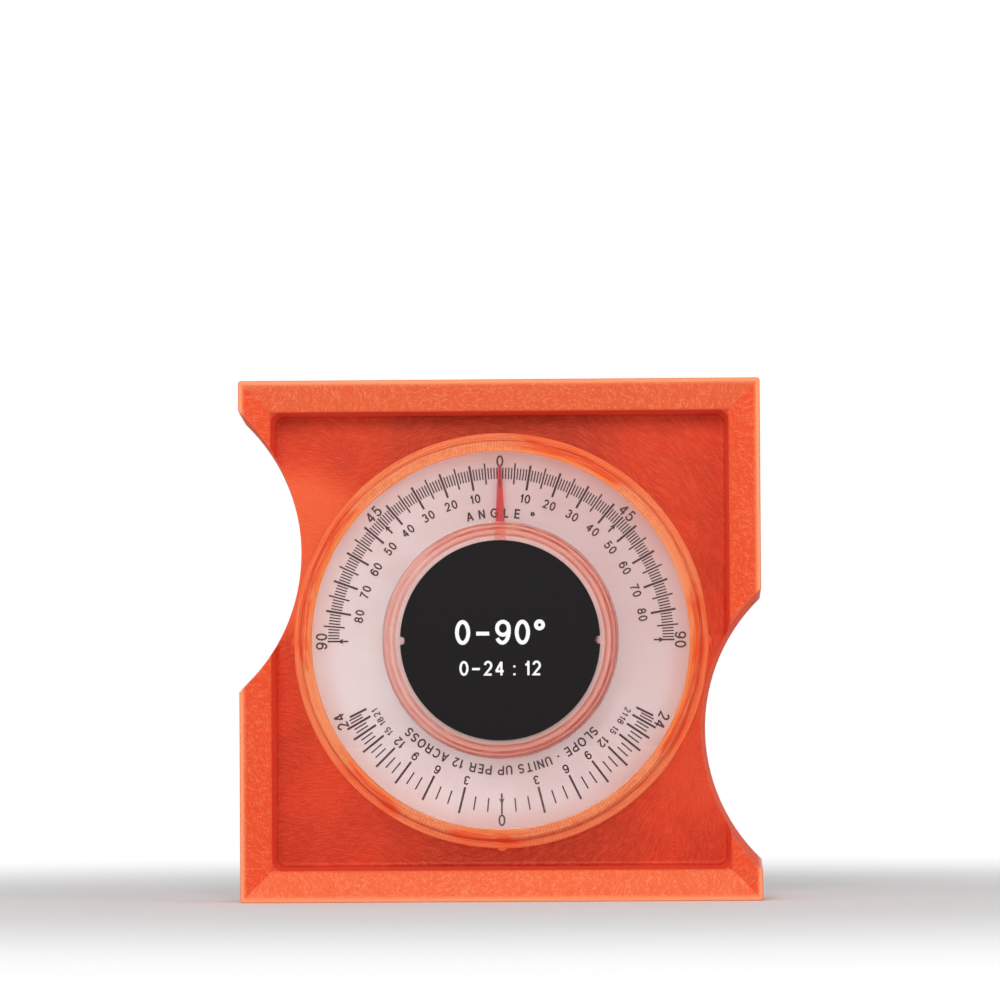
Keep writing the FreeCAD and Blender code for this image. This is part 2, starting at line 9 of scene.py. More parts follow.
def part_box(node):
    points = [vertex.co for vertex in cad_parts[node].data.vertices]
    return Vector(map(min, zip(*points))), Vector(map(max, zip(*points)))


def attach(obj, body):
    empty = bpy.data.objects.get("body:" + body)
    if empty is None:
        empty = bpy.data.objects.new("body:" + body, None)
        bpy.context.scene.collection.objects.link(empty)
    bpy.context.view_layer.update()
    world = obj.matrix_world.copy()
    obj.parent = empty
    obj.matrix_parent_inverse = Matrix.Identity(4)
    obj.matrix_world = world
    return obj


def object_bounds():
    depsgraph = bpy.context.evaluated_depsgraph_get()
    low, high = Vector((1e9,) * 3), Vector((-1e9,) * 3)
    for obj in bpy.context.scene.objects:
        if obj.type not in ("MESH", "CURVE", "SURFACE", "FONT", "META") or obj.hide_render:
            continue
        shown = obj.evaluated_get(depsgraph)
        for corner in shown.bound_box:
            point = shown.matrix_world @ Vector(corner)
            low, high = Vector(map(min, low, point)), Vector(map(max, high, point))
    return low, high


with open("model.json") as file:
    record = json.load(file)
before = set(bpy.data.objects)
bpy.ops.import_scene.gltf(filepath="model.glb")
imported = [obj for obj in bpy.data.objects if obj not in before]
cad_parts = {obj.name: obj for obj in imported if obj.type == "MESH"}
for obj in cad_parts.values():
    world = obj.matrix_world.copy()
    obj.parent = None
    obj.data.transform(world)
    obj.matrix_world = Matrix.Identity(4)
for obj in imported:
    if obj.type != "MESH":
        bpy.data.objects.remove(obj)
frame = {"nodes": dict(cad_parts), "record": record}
cad_low, cad_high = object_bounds()

MM = 0.001

# Places read from the frame, in metres; then the pivot's height and half the body's width, in
# millimetres
dial_low, dial_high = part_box("dial_face")
label_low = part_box("centre_label")[0]
PIVOT = Vector((0.0, 0.0, (dial_low.z + dial_high.z) / 2))
DIAL_FACE = dial_low.y
LABEL_FACE = label_low.y
PIVOT_HEIGHT = PIVOT.z / MM
HALF_BODY = cad_high.x / MM

# Camera: long lens, a little to the right of the middle and a little below it, tipped up
CAMERA_PLACE = Vector((34.2, -1205.1, 40.5)) * MM
CAMERA_TURN = radians(1.632)
CAMERA_TIP = radians(1.919)
CAMERA_ROLL = radians(-0.341)
CAMERA_LENS = 214.45
CAMERA_REACH = (0.05, 60.0)

# Floor: half its width in metres, the distances in millimetres over which it fades to white, and
# its surface
FLOOR_HALF = 4.0
FLOOR_FADE = (90.0, 350.0)
FLOOR_GRAIN_SCALE = 0.02
FLOOR_ROUGHNESS = 0.9
FLOOR_SPECULAR = 0.1

# Lamps: place and size in metres, and watts
SOFTBOXES = {
    "key": ((-0.10, -1.32, 0.70), (0.9, 0.6), 10.2),
    "left": ((-1.10, -0.85, 0.30), (0.6, 0.9), 3.0),
    "right": ((1.10, -0.85, 0.40), (0.6, 0.9), 3.5),
}

# The room's own light, how bright the room in front is where a surface mirrors it, and the
# directions between which it turns into the white behind the object
ROOM_LIGHT = 0.44
ROOM_MIRRORED = 0.15
ROOM_TURN = (-0.9, 0.1)

# Colours, linear
# The recess floor's orange: partly the plastic's own deeper tone, partly painted shade; the outer
# faces get a lighter orange
ORANGE = (0.62, 0.027, 0.012)
ORANGE_DEEP = (0.53, 0.019, 0.010)
# Painted light that lightens the recess's inner walls
ORANGE_PAINTED_WALL_LIGHT = (0.86, 0.075, 0.036)
ORANGE_OUTSIDE = (0.86, 0.092, 0.028)
# Pale streaks, also used for the painted highlight along the edges
ORANGE_PALE = (0.90, 0.14, 0.060)
# Painted light and sheen on the sloping border, paler on its level top and bottom than on its steep
# sides, also used for the painted light on the lit strips; pale flecks, partly the plastic's own
# and partly painted sparkle
ORANGE_BORDER = (0.87, 0.138, 0.047)
ORANGE_SIDES = (0.84, 0.072, 0.018)
ORANGE_SPARKLE = (0.96, 0.34, 0.18)
# Painted highlight on the flat land along the outer edge
ORANGE_EDGE_HIGHLIGHT = (0.95, 0.36, 0.17)
# Painted shade on the recess's floor above and below the dial
ORANGE_CORE_SHADE = (0.28, 0.007, 0.007)
ORANGE_SHEEN = (1.0, 0.34, 0.16)
DIAL_WHITE = (0.60, 0.545, 0.555)
DIAL_WARM = (0.57, 0.495, 0.51)
# Painted shade on the dial, pinker towards its top, its right and its rim
DIAL_SHADED_PINK = (0.48, 0.355, 0.360)
DIAL_RIM_SHADE = (0.52, 0.35, 0.335)
DIAL_RIM_SHADE_PINK = (0.447, 0.214, 0.193)
BACKING = (0.80, 0.72, 0.70)
BACKING_DULL = (0.74, 0.66, 0.64)
INK = (0.024, 0.001, 0.001)
INK_THIN = (0.040, 0.005, 0.005)
LABEL_BLACK = (0.0075, 0.0055, 0.006)
LABEL_DEEP = (0.0055, 0.0045, 0.005)
LABEL_WHITE = (0.90, 0.90, 0.89)
LABEL_GREY = (0.84, 0.84, 0.83)
POINTER_RED = (0.85, 0.060, 0.075)
POINTER_BODY = (0.85, 0.045, 0.055)
CLEAR = (0.985, 0.965, 0.955)
CLEAR_WARM = (0.98, 0.93, 0.91)
# Painted refraction and reflection in the clear lens's centre boss and rim
BOSS_PALE = (0.82, 0.52, 0.49)
BOSS_LINE = (0.50, 0.095, 0.070)
BOSS_WARM = (0.76, 0.24, 0.17)
BOSS_DEEP = (0.40, 0.055, 0.045)
BOSS_GOLD = (0.85, 0.40, 0.22)
RING_LINE = (0.78, 0.19, 0.050)
RING_DEEP = (0.74, 0.075, 0.022)
RING_PALE = (0.82, 0.155, 0.055)
RING_GOLD = (0.81, 0.255, 0.110)
RING_TAN = (0.84, 0.34, 0.17)
RING_REFLECTED_TICK = (0.60, 0.11, 0.045)
RED_LIGHT = (0.92, 0.30, 0.32)
WALL_LIGHT = (0.93, 0.87, 0.86)
GRAZED_LIGHT = (0.78, 0.69, 0.67)
BRASS = (0.78, 0.53, 0.22)
STEEL = (0.60, 0.59, 0.57)
ZINC = (0.66, 0.67, 0.69)
FLOOR_GREY = (0.86, 0.86, 0.86)
FLOOR_PALE = (0.90, 0.90, 0.90)

# Ranges named below run from none to full. A place is in millimetres, an inset is a distance from
# the body's square outline, a depth is the place's Y, and a slope is a component of the surface's
# normal. Noise scales are per millimetre.

# How squarely a surface has to face the front to be lit as a front face
FRONT_SLOPE = (0.6, 0.95)

# Orange plastic, streaks: the radius at which they have their full length, how far and how slowly
# they wander, the neck that they fan out from, and the distance at which the fan has its full
# width; then fineness and length for the border and for the floor
STREAK_CIRCLE = 45.0
STREAK_SWAY = 12.0
SWAY_SCALE = 0.045
STREAK_NECK = (39.0, 31.0)
STREAK_FAN = 16.0
BORDER_STREAK = (3.0, 0.9)
FLOOR_STREAK = (2.6, 2.4)

# Streaks run level at the left, by the sine of the bearing, and fan out at the lower right, by
# sine minus cosine and by height from the pivot
LEVEL_SINE = (-0.25, -0.65)
FAN_SIDE = (0.75, 1.15)
FAN_HEIGHT = (-24.0, -30.0)

# Orange plastic, zones: the sloping border, the flat land along its edge, the outer faces and the
# inner walls
BORDER_INSET = (6.6, 5.8)
LAND_INSET = (1.5, 0.3)
OUTSIDE_INSET = (5.2, 4.4)
OUTSIDE_SLOPE = (0.85, 0.75)
BACK_DEPTH = (-1.2, 0.0)
INNER_INSET = (0.2, 1.2)
INNER_SLOPE = (0.6, 0.2)
SIDE_SLOPE = (0.05, 0.15)

# Painted shade on the recess's floor, by distance from the middle and by depth in front
CORE_HALF_WIDTH = (36.0, 8.0)
CORE_DEPTH = (-8.0, -5.0)
CORE_BACK = -1.0

# Painted light on the strips between the dial and the cut-outs: place across, depth, distance below
# or above the pivot, reach, and for each side how strong they are
STRIP_PLACE = (41.5, -2.0, 18.0)
STRIP_REACH = (20.0, 12.0)
STRIP_SHARES = ((-1, 0.62), (1, 0.12))

# Painted highlight along the edges: its reach, and the cosine between the flat and the rounded
# normal
EDGE_REACH = 0.5
EDGE_COSINE = (0.99, 0.88)

# Orange plastic, noises: scale, and the part of their range that counts
CLOUD_SCALE = 0.10
CLOUD_RANGE = (0.38, 0.62)
OUTSIDE_CLOUD_RANGE = (0.32, 0.68)
GRAIN_SCALE = 3.0
FLECK_RANGE = (0.46, 0.64)
HAIR_RANGE = (0.42, 0.64)
FLECK_STREAK, FLECK_GRAIN = 0.45, 0.55
HAIR_STREAK, HAIR_GRAIN = 0.6, 0.4

# Orange plastic, how strongly each colour covers what is under it: two values are for none and
# full of a zone (the outside's clouds, the border's steep sides, the outer faces)
CORE_SHADE_SHARE = 0.7
INNER_LIGHT_SHARE = 0.8
OUTSIDE_SHARES = (0.94, 0.66)
BORDER_SHEEN_SHARE = 0.85
SPECKLE_SHARES = (0.5, 0.34)
HAIR_SHARES = (0.24, 0.17)
EDGE_HIGHLIGHT_SHARE = 0.5
LAND_HIGHLIGHT_SHARE = 0.85

# Orange plastic, surface: how deep the floor's streaks are off the border and outside, relief in
# millimetres, roughness, how much rougher the inner walls are, and the light that it scatters
# inside, by share, ratio between the colours and reach in millimetres
HAIR_DEPTH = 0.55
OUTSIDE_DEPTH = 0.6
ORANGE_RELIEF = 0.11
ORANGE_ROUGHNESS = (0.32, 0.42)
INNER_ROUGHNESS = 0.38
GLOW_SHARE = 0.12
GLOW_RATIOS = (1.0, 0.25, 0.10)
GLOW_REACH = 1.5

# Clear and red plastic: how much of the light that passes is tinted where it grazes, the needle's
# share of plain colour, and ripples as scale, relief in millimetres and strength
PLASTIC_IOR = 1.49
GRAZE_BLEND = 0.35
POINTER_BODY_SHARE = 0.10
POINTER_RIPPLE = (1.5, 0.004, 0.5)
POINTER_ROUGHNESS = (0.08, 0.16)
CLEAR_RIPPLE = (0.12, 0.003, 0.5)
CLEAR_RIPPLE_RANGE = (0.35, 0.65)
CLEAR_ROUGHNESS = (0.16, 0.004)

# Clear plastic, painted refraction and reflection: its front faces at distances from the pivot line
# take a painted colour for the walls of the centre boss and of the rim behind them, by a share,
# where they face the front at all
LENS_RINGS = (
    (0.0, 0.0, BOSS_PALE), (19.6, 0.0, BOSS_PALE), (20.1, 0.25, BOSS_PALE),
    (20.95, 0.25, BOSS_PALE), (21.1, 0.55, BOSS_LINE), (21.4, 0.55, BOSS_LINE),
    (21.6, 0.36, BOSS_WARM), (22.2, 0.34, BOSS_WARM), (22.35, 0.70, BOSS_DEEP),
    (22.65, 0.70, BOSS_DEEP), (22.85, 0.42, BOSS_WARM), (23.1, 0.42, BOSS_WARM),
    (23.25, 0.76, BOSS_DEEP), (23.5, 0.76, BOSS_DEEP), (23.7, 0.0, BOSS_PALE),
    (37.95, 0.0, RING_LINE), (38.2, 0.88, RING_LINE), (38.6, 0.88, RING_LINE),
    (39.0, 0.88, RING_DEEP), (40.8, 0.88, RING_DEEP), (41.1, 0.88, RING_PALE),
    (41.7, 0.88, RING_PALE), (41.9, 0.88, RING_DEEP), (45.0, 0.88, RING_DEEP),
)
REFRACTION_FACING_SLOPE = (0.03, 0.12)
RIM_RADIUS = (25.0, 35.0)

# Painted reflection of the lit border in golden patches on the lens's rim: arcs by the bearing of
# their middle and their half length, in degrees, softened outward and inward, and broken up by
# noise
GOLD_ARCS = ((-157, 8), (-111, 15), (-19, 25), (56, 19), (150, 25))
ARC_SOFTENING = (7, -5)
PATCH_TURNS, PATCH_FINENESS, PATCH_STRENGTH = 6.0, 0.7, 2.4
PATCH_RANGE = (1.35, 2.15)
GOLD_RADIUS = (40.9, 40.1)
GOLD_SHARES = (0.65, 0.9)

# Painted reflections of the dial's ticks across the golden patches, strongest at the top and the
# bottom
REFLECTED_TICK_COUNT = 400
REFLECTED_TICK_NOISE_SCALE, REFLECTED_TICK_NOISE = 1.3, 9.0
REFLECTED_TICK_RANGE = (3.6, 5.8)
REFLECTED_TICK_SHARE = 0.6
REFLECTED_TICK_COSINE = (0.35, 0.75)

# Painted fine bright lines round the pivot
LINE_TURNS = 5.0
LINE_FINENESS = 5.0
LINE_RANGE = (0.46, 0.64)
LINE_SHARE = 0.45

# The painted refraction on the centre boss is paler at its left and deeper at its lower right
PALE_DRIFT_SCALE, PALE_DRIFT = 0.07, 1.2
PALE_SIDE = (0.35, -0.5)
PALE_SHARE = 0.42
DEEP_SIDE = (0.2, 1.3)
DEEP_SHARE = 0.4
DEEP_RADIUS = (22.1, 22.4)

# Dial: painted shade, where it darkens and turns pinker towards its rim; pinker to the right, by
# the bearing's sine, and to the top, by its cosine leaning a little to the right; clouds and paper
# fibre
RIM_SHADE_RADIUS = (32.5, 39.0)
PINK_SINE = (-0.6, 0.15)
PINK_UP = (-0.3, 0.97)
PINK_LEAN = 0.18
PINK_HALF = 0.5
DIAL_CLOUD_SCALE = 0.05
DIAL_CLOUD_RANGE = (0.35, 0.65)
FIBRE_SCALE = 5.0
FIBRE_RANGE = (0.62, 0.80)
FIBRE_SHARE = 0.18
FIBRE_RELIEF = 0.004
DIAL_ROUGHNESS = (0.42, 0.58)

# Plain plastics and inks: roughness, scale of the grain and its relief in millimetres; then the
# part of the grain's range that counts, and how far roughness swings
BACKING_FINISH = (0.45, 3.0, 0.004)
LABEL_FINISH = (0.42, 9.0, 0.003)
INK_FINISH = (0.5, 6.0, 0.002)
PLAIN_GRAIN_RANGE = (0.35, 0.7)
PLAIN_SWING = (0.85, 1.15)
PLAIN_SPECULAR, MATT_SPECULAR = 0.5, 0.15

# Metals: roughness, stretch of the lines when turned and when brushed, how far roughness swings,
# and tarnish
BRASS_ROUGHNESS, STEEL_ROUGHNESS, ZINC_ROUGHNESS = 0.22, 0.25, 0.30
TURNED_STRETCH = (9.0, 9.0, 9.0)
BRUSHED_STRETCH = (0.6, 9.0, 9.0)
METAL_LINE_SCALE = 1.5
METAL_RELIEF = (0.01, 0.6)
METAL_SWING = (0.75, 1.35)
TARNISH_SCALE = 0.6
TARNISH_RANGE = (0.4, 0.75)
TARNISH_SHARE = 0.6
TARNISH_DULLING = 0.72

# The middle part of a noise's range, over which roughness runs from smooth to rough
NOISE_MIDDLE = (0.3, 0.7)

# Printed scales, in millimetres: ink and its layers; ticks by inner and outer radius and width;
# the arrow's head by the radius of its point and foot, its width and its notch
PRINT_THICKNESS = 0.02
LAYER_STEP = 0.005
FINE_TICK = (32.6, 34.9, 0.27)
MIDDLE_TICK = (31.6, 35.9, 0.32)
LONG_TICK = (30.7, 35.8, 0.45)
ARROW_TICK = (30.8, 35.0, 0.36)
PITCH_FINE_TICK = (31.8, 34.6, 0.29)
PITCH_LONG_TICK = (30.4, 35.8, 0.45)
PITCH_LAST_TICK = (30.4, 34.2, 0.45)
ARROW_POINT, ARROW_FOOT, ARROW_WIDTH = 33.0, 31.8, 1.15
ARROW_NOTCH = 0.55

# The upper scale's end and the degrees between its marks; the lower scale's run, its greatest
# rise, and the rise between its long marks
DEGREES_MOST = 90
ARROW_EVERY, LONG_EVERY, MIDDLE_EVERY = 45, 10, 5
PITCH_RUN = 12
PITCH_MOST = 24
PITCH_LONG_EVERY = 3

# Numbers: radius, height and stroke width; captions have their spacing too
OUTER_NUMBERS = (36.2, 2.35, 0.36)
INNER_NUMBERS = (29.0, 1.85, 0.32)
CROWDED_NUMBERS = (29.1, 1.40, 0.24)
TOP_CAPTION = (25.75, 1.95, 0.35, 1.10)
BOTTOM_CAPTION = (26.15, 1.95, 0.34, 0.36)

# Lettering: blank and spacing as shares of the height, degrees from point to point of a curve,
# the least cosine that a mitre is drawn out by, and the gap at which a line counts as closed
BLANK_SHARE = 0.42
SPACING_SHARE = 0.16
CURVE_STEP = 15
MITRE_LEAST = 0.5
CLOSED_GAP = 1e-6

# Label: words, height, height above the pivot and stroke width
LABEL_LINES = (("0–90°", 5.0, 1.6, 0.78), ("0–24 : 12", 3.0, -5.6, 0.46))


# Node helpers

def new_material(name):
    """A node material with a principled shader; returns the material, its tree and the shader."""
    material = bpy.data.materials.new(name)
    material.use_nodes = True
    tree = material.node_tree
    return material, tree, tree.nodes["Principled BSDF"]


def node(tree, kind, **settings):
    """A node, with plain settings as attributes."""
    made = tree.nodes.new(f"ShaderNode{kind}")
    for key, value in settings.items():
        setattr(made, key, value)
    return made


def plug(tree, target, value):
    """Link a socket to a node's input, or set the input's own value; a colour becomes opaque."""
    if isinstance(value, bpy.types.NodeSocket):
        tree.links.new(value, target)
    elif target.type == "RGBA":
        target.default_value = (*value, 1.0)
    else:
        target.default_value = value


def feed(tree, target, **inputs):
    """Set or link a node's inputs by name, with underscores for blanks."""
    for key, value in inputs.items():
        plug(tree, target.inputs[key.replace("_", " ")], value)


def math(tree, operation, *values):
    """A math node on values or sockets."""
    made = node(tree, "Math", operation=operation)
    for target, value in zip(made.inputs, values):
        plug(tree, target, value)
    return made.outputs[0]


def times(tree, first, *others):
    """The product of values or sockets."""
    for other in others:
        first = math(tree, "MULTIPLY", first, other)
    return first


def plus(tree, first, *others):
    """The sum of values or sockets."""
    for other in others:
        first = math(tree, "ADD", first, other)
    return first


def minus(tree, first, second):
    """The difference of two values or sockets."""
    return math(tree, "SUBTRACT", first, second)


def split(tree, vector):
    """The three values of a vector."""
    made = node(tree, "SeparateXYZ")
    plug(tree, made.inputs[0], vector)
    return made.outputs["X"], made.outputs["Y"], made.outputs["Z"]


def joined(tree, *values):
    """A vector from three values."""
    made = node(tree, "CombineXYZ")
    for target, value in zip(made.inputs, values):
        plug(tree, target, value)
    return made.outputs[0]


def noise(tree, place, scale, detail=3.0, roughness=0.55):
    """A noise texture's factor."""
    made = node(tree, "TexNoise")
    feed(tree, made, Vector=place, Scale=scale, Detail=detail, Roughness=roughness)
    return made.outputs["Fac"]


def span(tree, value, low, high, to_low=0.0, to_high=1.0):
    """A value stretched from one range to another, smoothly and with its ends held."""
    made = node(tree, "MapRange", interpolation_type="SMOOTHSTEP")
    feed(tree, made, Value=value, From_Min=low, From_Max=high, To_Min=to_low, To_Max=to_high)
    return made.outputs["Result"]


def mix(tree, share, first, second):
    """One colour mixed into another."""
    made = node(tree, "Mix", data_type="RGBA")
    for index, value in ((0, share), (6, first), (7, second)):
        plug(tree, made.inputs[index], value)
    return made.outputs[2]


def layered(tree, colour, *layers):
    """A colour with others laid over it in turn, each by a share."""
    for share, cover in layers:
        colour = mix(tree, share, colour, cover)
    return colour


def bump(tree, height, distance, strength=1.0):
    """A bumped normal from a height of 0 to 1 and its relief in millimetres."""
    made = node(tree, "Bump")
    feed(tree, made, Height=height, Distance=distance * MM, Strength=strength)
    return made.outputs["Normal"]


def bands(tree, value, stops):
    """A colour that changes along a value, through stops of place and colour."""
    made = node(tree, "ValToRGB")
    reach = stops[-1][0]
    plug(tree, made.inputs[0], math(tree, "DIVIDE", value, reach))
    elements = made.color_ramp.elements
    elements.remove(elements[1])
    elements[0].position = stops[0][0] / reach
    elements[0].color = (*stops[0][1], 1.0)
    for place, colour in stops[1:]:
        elements.new(place / reach).color = (*colour, 1.0)
    return made.outputs[0]


def blended(tree, share, first, second):
    """One shader blended into another."""
    made = node(tree, "MixShader")
    for target, value in zip(made.inputs, (share, first, second)):
        plug(tree, target, value)
    return made.outputs[0]


def diffuse(tree, colour):
    """A plain matt shader."""
    made = node(tree, "BsdfDiffuse")
    feed(tree, made, Color=colour)
    return made.outputs[0]


def show(tree, surface):
    """Make a shader the material's surface."""
    plug(tree, tree.nodes["Material Output"].inputs["Surface"], surface)


# Where a point lies and how it faces

def millimetres(tree):
    """The object's own coordinates in millimetres."""
    scale = node(tree, "VectorMath", operation="SCALE")
    plug(tree, scale.inputs[0], node(tree, "TexCoord").outputs["Object"])
    scale.inputs["Scale"].default_value = 1 / MM
    return scale.outputs["Vector"]


def around_pivot(tree, place):
    """A point's distance from the pivot line, and the sine and cosine of its bearing."""
    across, _, up = split(tree, place)
    height = minus(tree, up, PIVOT_HEIGHT)
    squares = plus(tree, times(tree, across, across), times(tree, height, height))
    radius = math(tree, "SQRT", squares)
    return (radius, math(tree, "DIVIDE", across, radius), math(tree, "DIVIDE", height, radius))


def normal_part(tree, axis):
    """One component of the surface's own normal."""
    normal = node(tree, "NewGeometry").outputs["True Normal"]
    return split(tree, normal)["XYZ".index(axis)]


def facing_forward(tree, none, full):
    """How squarely a surface faces the front."""
    return span(tree, times(tree, normal_part(tree, "Y"), -1.0), none, full)


def slope(tree, axis, none, full):
    """How large one component of the surface's normal is, either way."""
    return span(tree, math(tree, "ABSOLUTE", normal_part(tree, axis)), none, full)


def inset(tree, place, none, full):
    """How far in from the body's square outline a point lies, between two insets."""
    across, _, up = split(tree, place)
    aside = math(tree, "ABSOLUTE", across)
    off = math(tree, "ABSOLUTE", minus(tree, up, PIVOT_HEIGHT))
    return span(tree, math(tree, "MAXIMUM", aside, off), HALF_BODY - none, HALF_BODY - full)


def edge_glow(tree):
    """How close a point is to an edge, for the painted highlight, from the way that a bevel would
    turn its normal.
    """
    rounded = node(tree, "Bevel", samples=6)
    rounded.inputs["Radius"].default_value = EDGE_REACH * MM
    agree = node(tree, "VectorMath", operation="DOT_PRODUCT")
    plug(tree, agree.inputs[0], rounded.outputs["Normal"])
    plug(tree, agree.inputs[1], node(tree, "NewGeometry").outputs["True Normal"])
    return span(tree, agree.outputs["Value"], *EDGE_COSINE)


# Orange plastic

def streak_noise(tree, *flow):
    """Noise at a place that has been drawn out along the streaks."""
    return noise(tree, joined(tree, *flow), 1.0, detail=2.0, roughness=0.6)


def streak_sway(tree, place):
    """How far the streaks at a place wander to one side, in millimetres."""
    return times(tree, noise(tree, place, SWAY_SCALE, detail=2.0), STREAK_SWAY)


def round_streaks(tree, place, fineness, length):
    """Wavy streaks round the pivot, as melt leaves them round a core."""
    radius, sine, cosine = around_pivot(tree, place)
    depth = split(tree, place)[1]
    swayed = plus(tree, radius, streak_sway(tree, place), depth)
    turns = STREAK_CIRCLE / length
    return streak_noise(tree, times(tree, swayed, fineness), times(tree, sine, turns),
                        times(tree, cosine, turns))


def level_streaks(tree, place, fineness, length):
    """Wavy streaks that run from side to side."""
    across, depth, up = split(tree, place)
    swayed = plus(tree, up, streak_sway(tree, place))
    return streak_noise(tree, times(tree, swayed, fineness), depth,
                        math(tree, "DIVIDE", across, length))


def fanned_streaks(tree, place, fineness, length):
    """Streaks that fan out from the narrow neck between the dial and the right cut-out."""
    across, depth, up = split(tree, place)
    aside = minus(tree, across, STREAK_NECK[0])
    above = minus(tree, up, STREAK_NECK[1])
    bearing = math(tree, "ARCTAN2", aside, above)
    squares = plus(tree, times(tree, aside, aside), times(tree, above, above))
    distance = math(tree, "SQRT", squares)
    return streak_noise(tree, times(tree, bearing, fineness * STREAK_FAN), depth,
                        math(tree, "DIVIDE", distance, length))


def floor_streaks(tree, place):
    """Streaks as the melt ran: level at the left, round the dial, and fanned at the lower right."""
    radius, sine, cosine = around_pivot(tree, place)
    level = span(tree, sine, *LEVEL_SINE)
    fanned = times(tree, span(tree, minus(tree, sine, cosine), *FAN_SIDE),
                   span(tree, times(tree, radius, cosine), *FAN_HEIGHT))
    round_dial = minus(tree, 1.0, plus(tree, level, fanned))
    shares = ((round_dial, round_streaks), (level, level_streaks), (fanned, fanned_streaks))
    return plus(tree, *(times(tree, share, streaks(tree, place, *FLOOR_STREAK))
                        for share, streaks in shares))


def core_shade(tree, place):
    """Painted shade on the recess's floor above and below the dial, where the walls and the lens
    shade it.
    """
    across, depth, _ = split(tree, place)
    middle = span(tree, math(tree, "ABSOLUTE", across), *CORE_HALF_WIDTH)
    in_front = math(tree, "LESS_THAN", depth, CORE_BACK)
    return times(tree, middle, span(tree, depth, *CORE_DEPTH), in_front)


def outer_faces(tree, place):
    """The body's outer faces, its grooves and its back."""
    sides = times(tree, inset(tree, place, *OUTSIDE_INSET), slope(tree, "Y", *OUTSIDE_SLOPE))
    depth = split(tree, place)[1]
    return math(tree, "MAXIMUM", sides, span(tree, depth, *BACK_DEPTH))


def lit_strips(tree, place):
    """Painted light on the narrow strips of floor between the dial and the cut-outs, which light
    comes through.
    """
    across, depth, off = STRIP_PLACE
    total = 0.0
    for side, most in STRIP_SHARES:
        apart = node(tree, "VectorMath", operation="DISTANCE")
        plug(tree, apart.inputs[0], place)
        plug(tree, apart.inputs[1], (side * across, depth, PIVOT_HEIGHT - side * off))
        total = plus(tree, total, span(tree, apart.outputs["Value"], *STRIP_REACH, 0.0, most))
    return times(tree, total, facing_forward(tree, *FRONT_SLOPE))


def orange_plastic():
    """Moulded plastic with a golden sheen: flow streaks, cloudy colour, and painted light and
    shade: highlights along its edges and land, a lighter border, walls and strips, and shade on the
    recess's floor.
    """
    material, tree, shader = new_material("orange_plastic")
    place = millimetres(tree)
    front = facing_forward(tree, *FRONT_SLOPE)
    border = times(tree, inset(tree, place, *BORDER_INSET), front)
    land = times(tree, inset(tree, place, *LAND_INSET), front)
    inner = times(tree, inset(tree, place, *INNER_INSET), slope(tree, "Y", *INNER_SLOPE))
    outer = outer_faces(tree, place)
    steep = slope(tree, "X", *SIDE_SLOPE)
    fine = round_streaks(tree, place, *BORDER_STREAK)
    long = floor_streaks(tree, place)
    clouds = noise(tree, place, CLOUD_SCALE)
    grain = noise(tree, place, GRAIN_SCALE, detail=2.0, roughness=0.6)

    # The recess floor's orange with its cloudy tone, partly painted shade
    deep = mix(tree, span(tree, clouds, *CLOUD_RANGE), ORANGE_DEEP, ORANGE)
    # Painted sheen: the border's level top and bottom paler than its steep sides
    border_sheen_colour = mix(tree, steep, ORANGE_BORDER, ORANGE_SIDES)
    outside = times(tree, outer, span(tree, clouds, *OUTSIDE_CLOUD_RANGE, *OUTSIDE_SHARES))
    hairs = plus(tree, times(tree, long, HAIR_STREAK), times(tree, grain, HAIR_GRAIN))
    hair = times(tree, span(tree, hairs, *HAIR_RANGE), span(tree, outer, 0.0, 1.0, *HAIR_SHARES),
                 minus(tree, 1.0, border))
    flecks = plus(tree, times(tree, fine, FLECK_STREAK), times(tree, grain, FLECK_GRAIN))
    speckle = times(tree, span(tree, flecks, *FLECK_RANGE), border,
                    span(tree, steep, 0.0, 1.0, *SPECKLE_SHARES))
    colour = layered(tree, deep,
                     # painted shade on the middle of the recess's floor
                     (times(tree, core_shade(tree, place), CORE_SHADE_SHARE), ORANGE_CORE_SHADE),
                     # painted light on the inner walls
                     (times(tree, inner, INNER_LIGHT_SHARE), ORANGE_PAINTED_WALL_LIGHT),
                     # outer faces in a lighter orange than the recess floor's, whose orange is
                     # partly painted shade
                     (outside, ORANGE_OUTSIDE),
                     # painted light on the lit strips
                     (lit_strips(tree, place), ORANGE_BORDER),
                     # painted light and sheen on the border, paler on its level top and bottom
                     (times(tree, border, BORDER_SHEEN_SHARE), border_sheen_colour),
                     (hair, ORANGE_PALE),
                     # pale flecks on the border, fewer on its steep sides: partly the plastic's
                     # own, partly painted sparkle
                     (speckle, ORANGE_SPARKLE),
                     # painted highlight along the edges
                     (times(tree, edge_glow(tree), EDGE_HIGHLIGHT_SHARE), ORANGE_PALE),
                     # painted highlight on the land
                     (times(tree, land, LAND_HIGHLIGHT_SHARE), ORANGE_EDGE_HIGHLIGHT))

    depth = times(tree, span(tree, border, 0.0, 1.0, HAIR_DEPTH, 0.0),
                  span(tree, outer, 0.0, 1.0, 1.0, OUTSIDE_DEPTH))
    relief = plus(tree, times(tree, fine, border), grain, times(tree, long, depth))
    rough = plus(tree, span(tree, grain, *NOISE_MIDDLE, *ORANGE_ROUGHNESS),
                 times(tree, inner, INNER_ROUGHNESS))
    feed(tree, shader, Base_Color=colour, Roughness=rough, Normal=bump(tree, relief, ORANGE_RELIEF),
         Specular_IOR_Level=1.0, Specular_Tint=ORANGE_SHEEN, Subsurface_Weight=GLOW_SHARE,
         Subsurface_Radius=GLOW_RATIOS, Subsurface_Scale=GLOW_REACH * MM)
    return material


# Red and clear plastic

